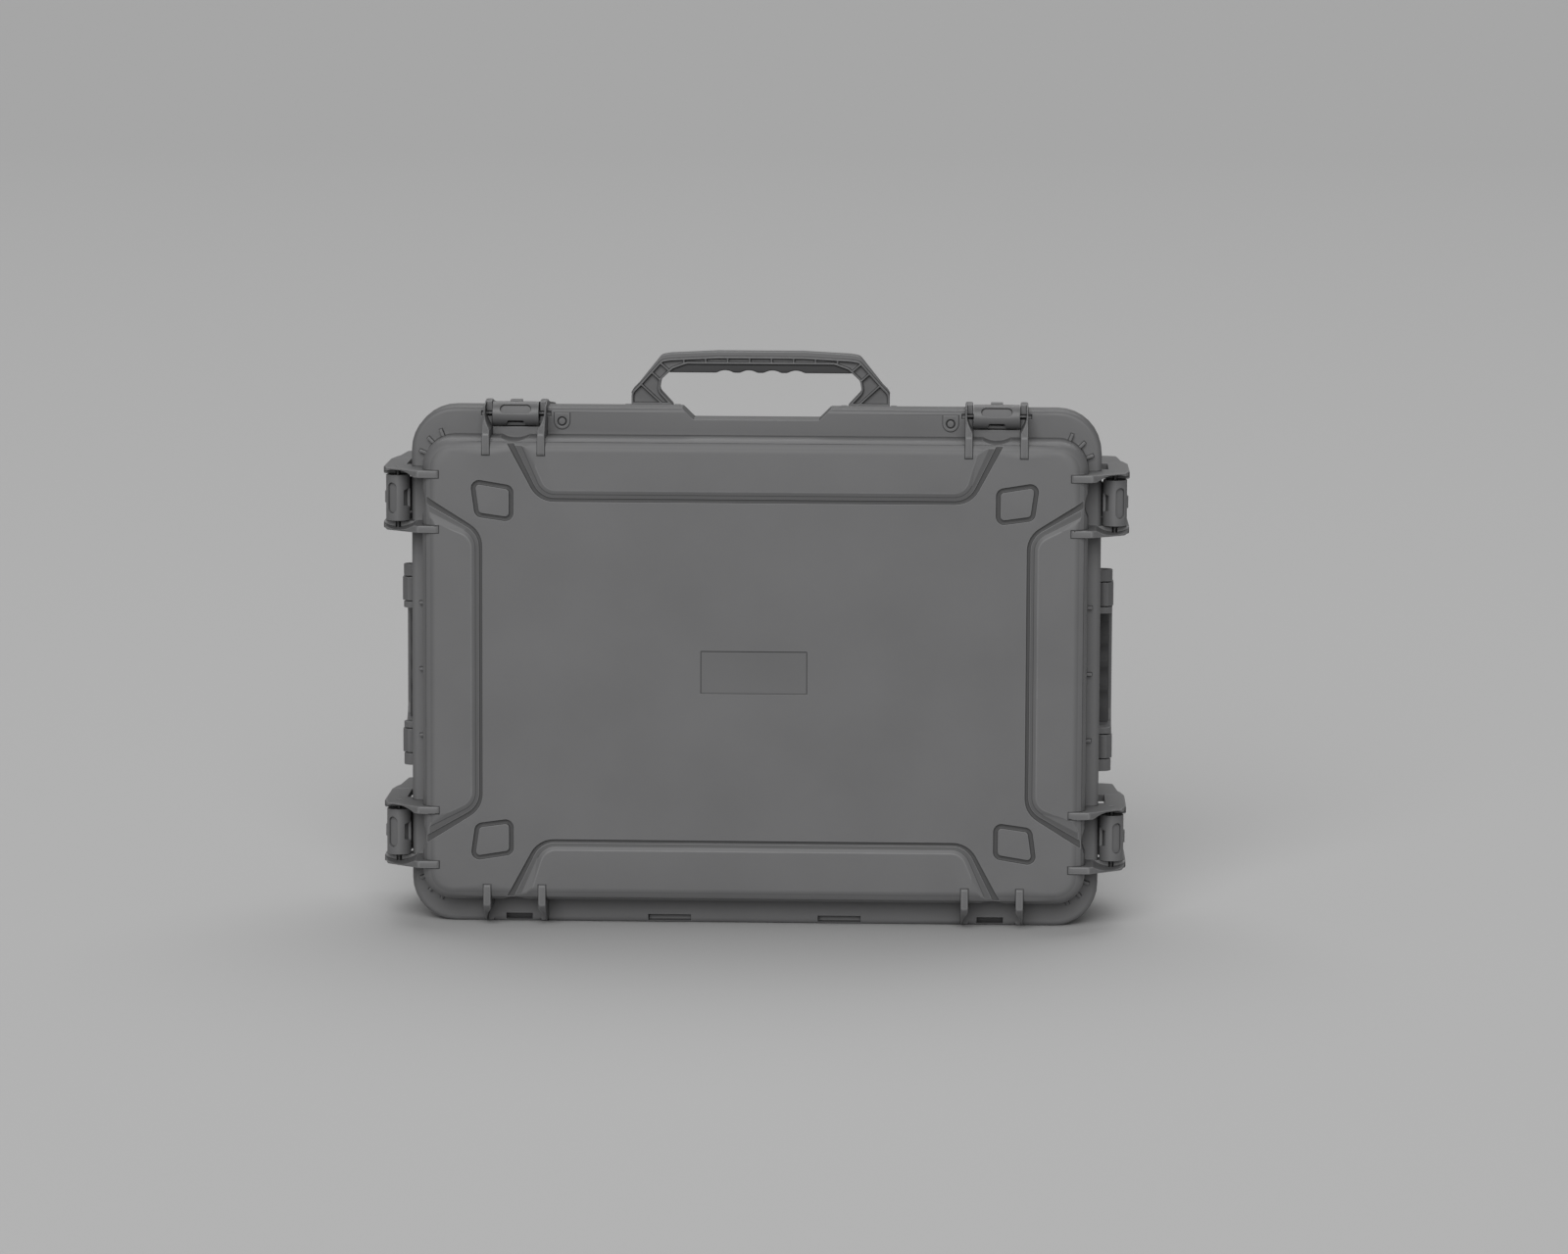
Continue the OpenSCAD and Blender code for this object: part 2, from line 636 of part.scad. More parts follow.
module base_shell() {
    color(shell_grey) stand() difference() {
        union() {
            soft_slab(wall_w, wall_h, wall_r, face_round, half_gap, base_back_y);
            difference() {
                soft_slab(case_w, case_h, rim_r, rim_round, half_gap, rim_t);
                translate([-case_w / 2 - over, 0, -wall_h / 2 - hinge_u]) rotate([0, 90, 0])
                    cylinder(r = gutter_r, h = case_w + 2 * over);
            }
            for (site = top_sites) at(site) fin_pair(fin_t) polygon(base_top_fin(top_fin_u - 1));
            for (site = side_sites) at(site) fin_pair(fin_t) polygon(base_fin(side_fin_u - 0.5));
            for (site = side_sites) at_latch(site) catch_ridge();
            // Hinge knuckles between the fins of the lid
            for (site = hinge_sites) at(site) {
                bar_x(2 * barrel_r, 2 * knuckle_half, 0, hinge_u);
                translate([-knuckle_half, half_gap, hinge_u - barrel_r - 6])
                    cube([2 * knuckle_half, gutter_r, 2 * barrel_r + 6]);
            }
            for (s = [-1, 1])
                translate([s * foot_x - foot_l / 2, base_back_y - foot_back - foot_d, -case_h / 2])
                    cube([foot_l, foot_d, rim_u + over]);
            top_brackets();
            side_brackets(-1);
            side_brackets(1);
            // Stacking ribs, which fit the marks of another lid
            slab(base_back_y - over, base_back_y + pad_h) mark_sites()
                mark_ring(pad_clear, mark_band - pad_clear);
        }
        slab(-over, base_back_y - face_round)
            polygon(round_box(wall_w - 2 * skin, wall_h - 2 * skin, wall_r - skin));
        slab(0, base_back_y - skin)
            polygon(round_box(floor_w, floor_h, wall_r - skin));
        translate([0, base_back_y, 0]) rotate(180) face_channels();
        for (site = top_sites) at(site) difference() {
            pocket_cut();
            catch_ridge();
        }
        for (site = hinge_sites) at(site) bar_x(hinge_pin_d + 2 * run_fit, 2 * pocket_half, 0, hinge_u);
        hand_notch();
        translate([0, 0, wall_h / 2])
            bar_x(handle_pin_d + 2 * fixed_fit, top_handle_w + 2 * bore_over, top_pin_y, top_pin_u);
        for (s = [-1, 1]) at_side(s)
            bar_x(handle_pin_d + 2 * fixed_fit, side_handle_w + 2 * bore_over, side_pin_y, side_pin_u);
        translate([valve_x, valve_y, wall_h / 2 - skin - over])
            cylinder(r = valve_stem_r + fixed_fit, h = skin + 2 * over);
    }
}

/* Foam, cut to the outline of the cavity */
foam_w = floor_w - 2 * foam_fit;
foam_h = floor_h - 2 * foam_fit;
foam_edge = 30;
well_w = 190;
well_h = 180;
well_d = 110;
well_z = 104;

module base_foam() {
    slot_pitch = (foam_h - 40) / slot_count;
    color(foam_grey) stand() difference() {
        slab(foam_drop, base_back_y - skin - foam_fit) polygon(round_box(foam_w, foam_h, wall_r - skin));
        for (k = [0:slot_count - 1])
            translate([-foam_w / 2 + foam_edge, -over, (k - (slot_count - 1) / 2) * slot_pitch - slot_w / 2])
                cube([slot_len, slot_floor_y + over, slot_w]);
        // Wells for chargers
        for (k = [-1, 1]) translate([foam_w / 2 - foam_edge - well_w, -over, k * well_z - well_h / 2])
            cube([well_w, foam_drop + well_d + over, well_h]);
        translate([valve_x, valve_y, foam_h / 2 - 12]) cylinder(r = valve_r + 4, h = 20);
    }
}

module lid_foam() {
    y0 = lid_front_y + skin + foam_fit;
    color(foam_grey) stand() slab(y0, y0 + lid_foam_t) polygon(round_box(foam_w, foam_h, wall_r - skin));
}

module hinge_pins() {
    color(steel_grey) stand() for (site = hinge_sites) at(site)
        bar_x(hinge_pin_d, fin_pitch + fin_t - 1, 0, hinge_u);
}

module latch_pins() {
    color(steel_grey) stand() for (site = latch_sites) at_latch(site)
        bar_x(lever_pin_d, fin_pitch + fin_t - 1, lever_y, lever_u);
}

module lever_at(site) {
    color(shell_grey) stand() at_latch(site) latch_lever();
}

module hook_at(site) {
    color(shell_grey) stand() at_latch(site) latch_hook();
}

module hook_pin_at(site) {
    color(steel_grey) stand() at_latch(site) bar_x(hook_pin_d, lever_w - 1, hook_y, hook_u);
}

/* Handles: X along the pins, Z away from them, the rear face close behind the pins */
foot_end = 10;
pocket_d = 5;
crown = 5;
grip_drop = 9;
rib_t = 1.8;
rim_w = 2;
scallop_r = 15.7;
scallop_d = 2.5;

// Closed outline of a handle that is h high, with feet, legs and bar of the given widths
function handle_outline(w, h, foot, leg, bar) =
    let (right = [[w / 2, -foot_end], [w / 2, h * 0.36], [w / 2 - 0.25 * leg, h * 0.36 + 7],
        [w / 2 - 1.08 * leg, h - 4.9], [w / 2 - 1.4 * leg, h - 3.4], [w / 6, h - 0.9]])
    let (inner = [[-w / 2 + foot, -foot_end], [-w / 2 + foot, 8.5], [-w / 2 + leg, 23.5],
        [-w / 2 + leg + 2, 34.5], [-w / 2 + 1.5 * leg, h - bar - 5], [-w / 2 + 2 * leg, h - bar]])
    fillet(concat(right, flip(right), inner, flip(inner)), concat(outer_rs, flip_rs(outer_rs), inner_rs,
        flip_rs(inner_rs)), 3);
outer_rs = [0, 8, 8, 8, 12, 0];
inner_rs = [0, 4, 7, 7, 7, 7];

function flip(pts) = [for (i = [len(pts) - 1:-1:0]) [-pts[i][0], pts[i][1]]];
function flip_rs(rs) = [for (i = [len(rs) - 1:-1:0]) rs[i]];

// A thin bar from p to q, lengthened at both ends
module rib(p, q) {
    v = unit(q - p);
    translate(p - 4 * v) rotate(atan2(v[1], v[0])) translate([0, -rib_t / 2]) square([norm(q - p) + 8, rib_t]);
}

module handle_side(h, t) {
    polygon(concat([[pin_back - t, h + over], [pin_back - t, -2]], arc([0, 0], pin_back, 250, 360, 6),
        [[pin_back, h + over]]));
}

module handle_frame(w, h, t, foot, leg, bar, rib_n, rib_pitch) {
    low = handle_outline(w, h - crown, foot, leg, bar - crown);
    difference() {
        intersection() {
            union() {
                slab(pin_back - t, pin_back) polygon(low);
                slab(pin_back - t + 5, pin_back - 5) polygon(handle_outline(w, h, foot, leg, bar));
            }
            profile(w + 2 * over) handle_side(h, t);
        }
        for (side = [[pin_back - t - over, pin_back - t + pocket_d], [pin_back - 3.5, pin_back + over]])
            slab(side[0], side[1]) difference() {
                intersection() {
                    polygon(inset(low, rim_w));
                    translate([-w / 2, 11]) square([w, h]);
                }
                for (k = [0:rib_n - 1]) translate([(k - (rib_n - 1) / 2) * rib_pitch - rib_t / 2, h - bar - 3])
                    square([rib_t, bar + 6]);
                for (s = [0, 1]) mirror([s, 0]) {
                    rib([w / 2 - 0.34 * leg, 0.46 * h], [w / 2 - 1.12 * leg, 0.15 * h]);
                    rib([w / 2 - 0.68 * leg, 0.67 * h], [w / 2 - 1.03 * leg, 0.53 * h]);
                    rib([w / 2 - 1.09 * leg, h - crown - 9], [w / 2 - 1.38 * leg, h - crown - 16]);
                }
            }
        bar_x(handle_pin_d + 2 * run_fit, w + 2 * over, 0, 0);
    }
}

// Soft grip under the bar, with a scallop for each finger
module handle_grip(w, h, t, leg, bar) {
    low = h - bar - grip_drop;
    top_half = w / 2 - 2 * leg;
    mid_half = w / 2 - 1.5 * leg;
    low_half = mid_half + (leg / 2 - 2) * (grip_drop - 5) / (h - bar - 39.5);
    y0 = pin_back - t + 3;
    y1 = pin_back - 3;
    color(rubber_grey) difference() {
        slab(y0, y1) polygon(fillet([[-top_half, h - bar], [-mid_half, h - bar - 5], [-low_half, low],
            [low_half, low], [mid_half, h - bar - 5], [top_half, h - bar]], [7, 7, 0, 0, 7, 7], 3));
        for (k = [-1.5:1:1.5]) slab(y0 - over, y1 + over)
            translate([k * finger_pitch, low - scallop_r + scallop_d]) circle(r = scallop_r);
    }
}

top_leg = 28;
top_bar = 13.5;
side_leg = 21;
side_bar = 14;
rib_gap = 22.3;

module top_handle_place() {
    stand() translate([0, top_pin_y, wall_h / 2 + top_pin_u]) children();
}

module side_handle_place(s) {
    stand() at_side(s) translate([0, side_pin_y, side_pin_u]) rotate([-90, 0, 0]) children();
}

module top_handle() {
    color(handle_grey) top_handle_place()
        handle_frame(top_handle_w, top_handle_h, top_handle_t, foot_w, top_leg, top_bar, 8, rib_gap);
}

module top_handle_grip() {
    top_handle_place() handle_grip(top_handle_w, top_handle_h, top_handle_t, top_leg, top_bar);
}

// One pin through each foot and the two brackets beside it
module foot_pins(w, foot, out_t, in_t) {
    for (s = [0, 1]) mirror([s, 0, 0]) translate([w / 2 - foot - foot_gap - in_t + 0.5, 0, 0])
        rotate([0, 90, 0]) cylinder(d = handle_pin_d, h = foot + 2 * foot_gap + in_t + out_t - 1);
}

module top_handle_pins() {
    color(steel_grey) top_handle_place() foot_pins(top_handle_w, foot_w, bracket_t, bracket_t);
}

module side_handle(s) {
    color(handle_grey) side_handle_place(s)
        handle_frame(side_handle_w, side_handle_h, side_handle_t, side_foot_w, side_leg, side_bar, 5, rib_gap);
}

module side_grip(s) {
    side_handle_place(s) handle_grip(side_handle_w, side_handle_h, side_handle_t, side_leg, side_bar);
}

module side_pins(s) {
    color(steel_grey) side_handle_place(s) foot_pins(side_handle_w, side_foot_w, side_bracket_t, bracket_t);
}

/* Pressure valve: body through the wall, seal under its flange, nut inside, knob on top */
valve_nut_t = 5;
valve_knob_t = 4;
valve_knob_r = 9.5;
valve_bore_r = 4;
valve_post_r = 3;

module valve_place() {
    stand() translate([valve_x, valve_y, wall_h / 2]) children();
}

module valve_body() {
    color(handle_grey) valve_place() difference() {
        union() {
            translate([0, 0, valve_seal_t]) cylinder(r = valve_r, h = valve_flange_t);
            translate([0, 0, -skin - valve_nut_t])
                cylinder(r = valve_stem_r, h = skin + valve_nut_t + valve_seal_t + over);
        }
        translate([0, 0, -skin - valve_nut_t - over]) cylinder(r = valve_bore_r, h = 8);
        translate([0, 0, valve_seal_t - 2]) cylinder(r = valve_post_r + run_fit, h = 10);
    }
}

module valve_seal() {
    color(rubber_grey) valve_place() difference() {
        cylinder(r = valve_r - 1.5, h = valve_seal_t);
        translate([0, 0, -over]) cylinder(r = valve_stem_r + fixed_fit, h = valve_seal_t + 2 * over);
    }
}

module valve_nut() {
    color(handle_grey) valve_place() translate([0, 0, -skin - valve_nut_t + 0.5]) difference() {
        cylinder(r = valve_r - 0.5, h = valve_nut_t - 0.5, $fn = 6);
        translate([0, 0, -over]) cylinder(r = valve_stem_r + fixed_fit, h = valve_nut_t + 2 * over);
    }
}

module valve_knob() {
    color(shell_grey) valve_place() translate([0, 0, valve_seal_t + valve_flange_t]) {
        difference() {
            translate([0, 0, run_fit]) cylinder(r = valve_knob_r, h = valve_knob_t);
            for (k = [0:11]) rotate(30 * k) translate([valve_knob_r + 0.8, 0, 1])
                cylinder(r = 1.6, h = valve_knob_t);
            for (s = [-1, 1]) translate([-valve_knob_r, s * 5.5 - 2.5, 1.5])
                cube([2 * valve_knob_r, 5, valve_knob_t]);
        }
        translate([0, 0, -valve_flange_t - 0.5]) cylinder(r = valve_post_r, h = valve_flange_t + 1);
    }
}

base_shell();
lid_shell();
lid_seal();
base_foam();
lid_foam();
hinge_pins();
latch_pins();
lever_at(TOP_LEFT);  // lever_top_left
lever_at(TOP_RIGHT);  // lever_top_right
lever_at(LEFT_UPPER);  // lever_left_upper
lever_at(LEFT_LOWER);  // lever_left_lower
lever_at(RIGHT_UPPER);  // lever_right_upper
lever_at(RIGHT_LOWER);  // lever_right_lower
hook_at(TOP_LEFT);  // hook_top_left
hook_at(TOP_RIGHT);  // hook_top_right
hook_at(LEFT_UPPER);  // hook_left_upper
hook_at(LEFT_LOWER);  // hook_left_lower
hook_at(RIGHT_UPPER);  // hook_right_upper
hook_at(RIGHT_LOWER);  // hook_right_lower
hook_pin_at(TOP_LEFT);  // hook_pin_top_left
hook_pin_at(TOP_RIGHT);  // hook_pin_top_right
hook_pin_at(LEFT_UPPER);  // hook_pin_left_upper
hook_pin_at(LEFT_LOWER);  // hook_pin_left_lower
hook_pin_at(RIGHT_UPPER);  // hook_pin_right_upper
hook_pin_at(RIGHT_LOWER);  // hook_pin_right_lower
top_handle();
top_handle_grip();
top_handle_pins();
side_handle(-1);  // left_handle
side_grip(-1);  // left_handle_grip
side_pins(-1);  // left_handle_pins
side_handle(1);  // right_handle
side_grip(1);  // right_handle_grip
side_pins(1);  // right_handle_pins
valve_body();
valve_seal();
valve_nut();
valve_knob();
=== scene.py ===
"""Looks of the laptop hard case: moulded plastic, rubber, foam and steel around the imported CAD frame."""
import math

import bpy
from mathutils import Matrix, Vector


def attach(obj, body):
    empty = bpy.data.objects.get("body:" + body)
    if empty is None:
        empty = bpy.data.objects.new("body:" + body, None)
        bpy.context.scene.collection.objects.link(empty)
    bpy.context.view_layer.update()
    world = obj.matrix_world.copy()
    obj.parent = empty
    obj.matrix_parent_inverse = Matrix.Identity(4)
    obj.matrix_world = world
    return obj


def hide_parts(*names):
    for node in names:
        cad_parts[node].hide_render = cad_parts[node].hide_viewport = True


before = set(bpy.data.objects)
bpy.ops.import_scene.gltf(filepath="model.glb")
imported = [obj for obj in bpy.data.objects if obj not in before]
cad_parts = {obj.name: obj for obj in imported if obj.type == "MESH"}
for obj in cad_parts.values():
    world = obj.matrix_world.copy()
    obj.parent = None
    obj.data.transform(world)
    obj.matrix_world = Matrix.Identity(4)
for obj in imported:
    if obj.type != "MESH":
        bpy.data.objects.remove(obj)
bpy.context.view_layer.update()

MM = 0.001

# Places on the CAD frame
MID_Z = 260.5 * MM
PARTING_Y = -64.0 * MM
LID_FACE = -127.0 * MM
BASE_FACE = 126.0 * MM
GROOVE_DEPTH = 3.6 * MM
SIDE_LATCH = 169.0 * MM
TOP_LATCH = 240.0 * MM
HINGE = 239.0 * MM
NEAR_SIDE = 300.0 * MM
NEAR_END = 215.0 * MM
FIN_SIDES = (23.75 * MM, 31.25 * MM)

# Rounding of the edges
SHARP = 24
SMOOTH = 38
MERGE = 0.02 * MM
OFF_SKIN = 0.6 * MM
SHELL_EDGE = 0.7 * MM
FIN_EDGE = 1.4 * MM
SHORT_EDGE = 2.5 * MM
ON_FACE = 0.15 * MM

LATCHES = ["top_left", "top_right", "left_upper", "left_lower", "right_upper", "right_lower"]
HANDLES = ["top", "left", "right"]


# Modelling helpers

def deselect():
    """Leaves nothing selected, since an operator acts on all that is."""
    for o in bpy.context.selected_objects:
        o.select_set(False)


def work_on(obj):
    """Makes one object the only selected and active one."""
    deselect()
    obj.select_set(True)
    bpy.context.view_layer.objects.active = obj


def apply_modifiers(obj):
    work_on(obj)
    for m in list(obj.modifiers):
        bpy.ops.object.modifier_apply(modifier=m.name)


def merged_copy(node, name):
    """A copy of a CAD node's mesh, merged into one closed skin."""
    obj = bpy.data.objects.new(name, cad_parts[node].data.copy())
    bpy.context.scene.collection.objects.link(obj)
    work_on(obj)
    bpy.ops.mesh.customdata_custom_splitnormals_clear()
    bpy.ops.object.mode_set(mode="EDIT")
    bpy.ops.mesh.select_all(action="SELECT")
    bpy.ops.mesh.remove_doubles(threshold=MERGE)
    bpy.ops.object.mode_set(mode="OBJECT")
    return obj


def fin_site(point):
    """Which kind of guard fin has the point on one of its side faces, or None."""
    high = point.z - MID_Z
    sites = (("side", abs(high) - SIDE_LATCH, abs(point.x) > NEAR_SIDE),
             ("top", abs(point.x) - TOP_LATCH, high > NEAR_END),
             ("low", abs(point.x) - HINGE, high < -NEAR_END))
    for kind, off_middle, is_near in sites:
        if is_near and any(abs(abs(off_middle) - side) < ON_FACE for side in FIN_SIDES):
            return kind
    return None


def is_fin_edge(a, b):
    """True for a long outer edge of a guard fin, away from the joints between lid and base."""
    at_joint = abs(a.y - b.y) < 0.2 * MM and PARTING_Y - 2.0 * MM < a.y < 0.0
    if at_joint or (a - b).length <= SHORT_EDGE:
        return False
    return fin_site(a) is not None and fin_site(a) == fin_site(b)


def weigh_edges(mesh, share):
    """Bevel weights: 1 on the outer edges of the fins, share on every other sharp edge."""
    beside = {}
    for face in mesh.polygons:
        for key in face.edge_keys:
            beside.setdefault(key, []).append(face)
    weights = mesh.attributes.new("bevel_weight_edge", "FLOAT", "EDGE")
    limit = math.cos(math.radians(SHARP))
    for edge in mesh.edges:
        near = beside[edge.key]
        if len(near) != 2 or near[0].normal.dot(near[1].normal) > limit:
            continue
        outward = near[0].normal.dot(near[1].center - near[0].center) < 0.0
        ends = [mesh.vertices[i].co for i in edge.vertices]
        weights.data[edge.index].value = 1.0 if outward and is_fin_edge(*ends) else share


def keep_to_skin(obj, node):
    """Puts back the few corners that the rounding threw off the CAD skin."""
    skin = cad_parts[node]
    for vertex in obj.data.vertices:
        found, place, _, _ = skin.closest_point_on_mesh(vertex.co)
        if found and (place - vertex.co).length > OFF_SKIN:
            vertex.co = place


def mark_edges(obj, node):
    """Marks the rounded faces: outer ones for the wear, inner ones (the creases) for painted shade."""
    mesh = obj.data
    mesh.attributes.new("edge", "FLOAT", "CORNER")
    mesh.attributes.new("recess", "FLOAT", "CORNER")
    for face in mesh.polygons:
        if face.material_index == 1:
            _, place, normal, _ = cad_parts[node].closest_point_on_mesh(face.center)
            label = "edge" if (face.center - place).dot(normal) < 0.0 else "recess"
            for corner in face.loop_indices:
                mesh.attributes[label].data[corner].value = 1.0
        face.material_index = 0
    mesh.materials.clear()


def soften(obj, node, width, segments=2, has_fins=False):
    """Rounds the sharp edges by width, and the outer edges of guard fins by more."""
    bevel = obj.modifiers.new("rounded edges", "BEVEL")
    bevel.segments = segments
    if has_fins:
        weigh_edges(obj.data, width / FIN_EDGE)
        bevel.width = FIN_EDGE
        bevel.limit_method = "WEIGHT"
    else:
        bevel.width = width
        bevel.limit_method = "ANGLE"
        bevel.angle_limit = math.radians(SHARP)
    bevel.use_clamp_overlap = False
    bevel.loop_slide = False
    bevel.miter_outer = "MITER_SHARP"
    bevel.material = 1
    obj.data.materials.clear()
    for _ in range(2):
        obj.data.materials.append(None)
    for face in obj.data.polygons:
        face.material_index = 0
    apply_modifiers(obj)
    keep_to_skin(obj, node)
    mark_edges(obj, node)
    work_on(obj)
    bpy.ops.object.shade_smooth_by_angle(angle=math.radians(SMOOTH))
    weighted = obj.modifiers.new("flat faces stay flat", "WEIGHTED_NORMAL")
    weighted.mode = "FACE_AREA"
    weighted.weight = 80
    weighted.keep_sharp = True
    apply_modifiers(obj)


def mark_recess(obj, face_y, inward):
    """Depth from 0 to 1 on the floors and sides of the grooves and marks in one face, which darkens them
    as painted shade.
    """
    mesh = obj.data
    recess = mesh.attributes["recess"]
    for face in mesh.polygons:
        places = [mesh.vertices[i].co.y for i in face.vertices]
        deep = [inward * (y - face_y) / GROOVE_DEPTH for y in places]
        is_slope = 0.3 < abs(face.normal.y) < 0.97
        if is_slope or max(deep) > 1.15 or min(deep) < -0.1:
            continue
        for corner, value in zip(face.loop_indices, deep):
            recess.data[corner].value = min(1.0, max(0.0, value))


def paint(obj, material):
    obj.data.materials.clear()
    obj.data.materials.append(material)


def finish_piece(obj, body, material, node):
    """Gives a piece its material and its body, and hides the CAD node that it stands for."""
    paint(obj, material)
    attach(obj, body)
    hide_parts(node)


# Material helpers

def group(name, inputs, outputs):
    """A shader node group with named float inputs and named outputs."""
    tree = bpy.data.node_groups.new(name, "ShaderNodeTree")
    for label, value in inputs:
        socket = tree.interface.new_socket(label, in_out="INPUT", socket_type="NodeSocketFloat")
        socket.default_value = value
    for label, kind in outputs:
        tree.interface.new_socket(label, in_out="OUTPUT", socket_type=kind)
    return tree, tree.nodes.new("NodeGroupInput"), tree.nodes.new("NodeGroupOutput")


def multiply(tree, a, b):
    """The product of two sockets."""
    node = tree.nodes.new("ShaderNodeMath")
    node.operation = "MULTIPLY"
    for value, socket in zip((a, b), node.inputs):
        tree.links.new(value, socket)
    return node.outputs[0]


def attribute_node(tree, name):
    node = tree.nodes.new("ShaderNodeAttribute")
    node.attribute_name = name
    return node.outputs["Fac"]


def noise_node(tree, vector, scale, detail, roughness):
    """Noise along the vector; the scale is a number or a socket."""
    node = tree.nodes.new("ShaderNodeTexNoise")
    node.inputs["Detail"].default_value = detail
    node.inputs["Roughness"].default_value = roughness
    tree.links.new(vector, node.inputs["Vector"])
    if isinstance(scale, (int, float)):
        node.inputs["Scale"].default_value = scale
    else:
        tree.links.new(scale, node.inputs["Scale"])
    return node.outputs["Fac"]


def grain_group():
    """Fine moulded grain: a height for the bump, and a slow patchiness for colour and gloss."""
    tree, source, sink = group("moulded_grain", [("Scale", 900.0)],
                               [("Height", "NodeSocketFloat"), ("Patches", "NodeSocketFloat")])
    place = tree.nodes.new("ShaderNodeTexCoord").outputs["Object"]
    fine = noise_node(tree, place, source.outputs["Scale"], 3.0, 0.6)
    slow = noise_node(tree, place, 9.0, 4.0, 0.55)
    tree.links.new(fine, sink.inputs["Height"])
    tree.links.new(slow, sink.inputs["Patches"])
    return tree


def wear_group():
    """Edge wear: the rounded edges, broken up by noise."""
    tree, source, sink = group("edge_wear", [("Amount", 1.0)], [("Mask", "NodeSocketFloat")])
    place = tree.nodes.new("ShaderNodeTexCoord").outputs["Object"]
    broken = noise_node(tree, place, 55.0, 4.0, 0.65)
    mask = multiply(tree, attribute_node(tree, "edge"), broken)
    tree.links.new(multiply(tree, mask, source.outputs["Amount"]), sink.inputs["Mask"])
    return tree


# Where the slow noise of the patches starts and ends
PATCH_RANGE = (0.3, 0.7)
GRAIN = grain_group()
WEAR = wear_group()


def new_material(name):
    """A material with its node tree and its main shader."""
    mat = bpy.data.materials.new(name)
    mat.use_nodes = True
    tree = mat.node_tree
    return mat, tree, tree.nodes["Principled BSDF"]


def place_group(tree, shared, **values):
    node = tree.nodes.new("ShaderNodeGroup")
    node.node_tree = shared
    for label, value in values.items():
        node.inputs[label].default_value = value
    return node


def scaled(colour, factor):
    return tuple(factor * c for c in colour)


def mix_colour(tree, mask, dark, light):
    """Goes from dark to light with the mask; each is a colour or a socket."""
    node = tree.nodes.new("ShaderNodeMix")
    node.data_type = "RGBA"
    tree.links.new(mask, node.inputs["Factor"])
    for socket, value in ((node.inputs[6], dark), (node.inputs[7], light)):
        if isinstance(value, tuple):
            socket.default_value = value + (1.0,)
        else:
            tree.links.new(value, socket)
    return node.outputs[2]


def ramp(tree, value, low, high, out_low=0.0, out_high=1.0):
    """Carries the value from the range low to high over to out_low to out_high."""
    node = tree.nodes.new("ShaderNodeMapRange")
    tree.links.new(value, node.inputs["Value"])
    labels = ("From Min", "From Max", "To Min", "To Max")
    for label, number in zip(labels, (low, high, out_low, out_high)):
        node.inputs[label].default_value = number
    return node.outputs["Result"]


def bump(tree, shader, height, strength, distance):
    node = tree.nodes.new("ShaderNodeBump")
    node.inputs["Strength"].default_value = strength
    node.inputs["Distance"].default_value = distance
    tree.links.new(height, node.inputs["Height"])
    tree.links.new(node.outputs["Normal"], shader.inputs["Normal"])


def moulded_plastic(name, colour, roughness, depth=0.06 * MM):
    """Dark moulded plastic with a fine grain, faint patches, lighter worn edges, and painted shade that
    darkens the grooves, marks and creases.
    """
    mat, tree, shader = new_material(name)
    grain = place_group(tree, GRAIN, Scale=900.0)
    worn = place_group(tree, WEAR, Amount=0.55)
    patches = ramp(tree, grain.outputs["Patches"], *PATCH_RANGE)
    base = mix_colour(tree, patches, scaled(colour, 0.94), scaled(colour, 1.06))
    with_wear = mix_colour(tree, worn.outputs["Mask"], base, scaled(colour, 1.9))
    # painted shade: grooves, marks and creases go down to 0.42 of the colour
    full = mix_colour(tree, attribute_node(tree, "recess"), with_wear, scaled(colour, 0.42))
    tree.links.new(full, shader.inputs["Base Color"])
    gloss = ramp(tree, grain.outputs["Patches"], *PATCH_RANGE, roughness - 0.04, roughness + 0.04)
    tree.links.new(gloss, shader.inputs["Roughness"])
    shader.inputs["Specular IOR Level"].default_value = 0.4
    bump(tree, shader, grain.outputs["Height"], 0.6, depth)
    return mat


def soft_rubber(name, colour):
    """Matt rubber with a finer grain."""
    mat, tree, shader = new_material(name)
    grain = place_group(tree, GRAIN, Scale=1400.0)
    patches = ramp(tree, grain.outputs["Patches"], *PATCH_RANGE)
    patchy = mix_colour(tree, patches, scaled(colour, 0.85), scaled(colour, 1.2))
    tree.links.new(patchy, shader.inputs["Base Color"])
    gloss = ramp(tree, grain.outputs["Patches"], *PATCH_RANGE, 0.62, 0.72)
    tree.links.new(gloss, shader.inputs["Roughness"])
    shader.inputs["Specular IOR Level"].default_value = 0.3
    bump(tree, shader, grain.outputs["Height"], 0.5, 0.05 * MM)
    return mat


def foam_material(name, colour):
    """Open-cell foam: small pores as dark specks of painted shade, and as bump."""
    mat, tree, shader = new_material(name)
    place = tree.nodes.new("ShaderNodeTexCoord").outputs["Object"]
    cells = tree.nodes.new("ShaderNodeTexVoronoi")
    cells.inputs["Scale"].default_value = 420.0
    tree.links.new(place, cells.inputs["Vector"])
    pores = ramp(tree, cells.outputs["Distance"], 0.05, 0.5)
    # painted shade: dark specks where the pores are
    specked = mix_colour(tree, pores, scaled(colour, 0.45), scaled(colour, 1.25))
    tree.links.new(specked, shader.inputs["Base Color"])
    shader.inputs["Roughness"].default_value = 0.95
    shader.inputs["Specular IOR Level"].default_value = 0.15
    bump(tree, shader, cells.outputs["Distance"], 0.8, 0.6 * MM)
    return mat


def steel_material(name, dark, light):
    """Blackened steel."""
    mat, tree, shader = new_material(name)
    grain = place_group(tree, GRAIN, Scale=700.0)
    shader.inputs["Metallic"].default_value = 1.0
    tree.links.new(mix_colour(tree, grain.outputs["Patches"], dark, light), shader.inputs["Base Color"])
    gloss = ramp(tree, grain.outputs["Height"], *PATCH_RANGE, 0.4, 0.55)
    tree.links.new(gloss, shader.inputs["Roughness"])
    bump(tree, shader, grain.outputs["Height"], 0.4, 0.03 * MM)
    return mat


